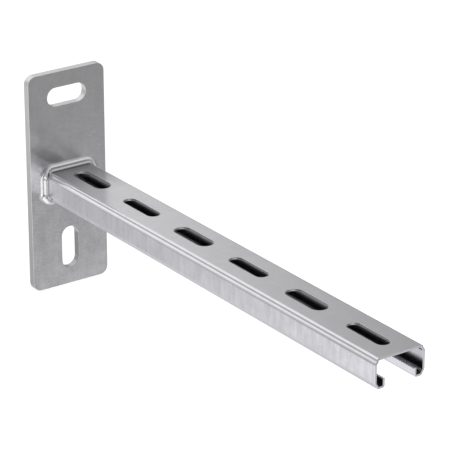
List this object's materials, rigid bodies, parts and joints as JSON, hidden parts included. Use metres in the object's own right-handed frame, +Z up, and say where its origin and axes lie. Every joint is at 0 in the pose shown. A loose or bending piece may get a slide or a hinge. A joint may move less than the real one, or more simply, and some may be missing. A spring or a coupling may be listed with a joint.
{
  "type": "cantilever strut arm",
  "caption": "Slotted channel arm welded square to an upright wall plate with two fixing slots.",
  "frame": {"origin": "centre of the plate's flat wall face", "axes": "+X out from the wall along the arm, +Y to the right seen from the tip, +Z up, the slotted top of the arm"},
  "size_m": [0.3045, 0.05, 0.13],
  "materials": {
    "zinc_plate": "bright zinc plated flat bar with soft reflections",
    "galvanised_sheet": "smooth galvanised strip, glossy on the flat faces with faint streaks along the roll",
    "weld_metal": "zinc plated weld bead with fine ripples"
  },
  "bodies": {
    "root": {"base_plate": "zinc_plate", "channel_arm": "galvanised_sheet", "weld_bead": "weld_metal"}
  },
  "joints": []
}
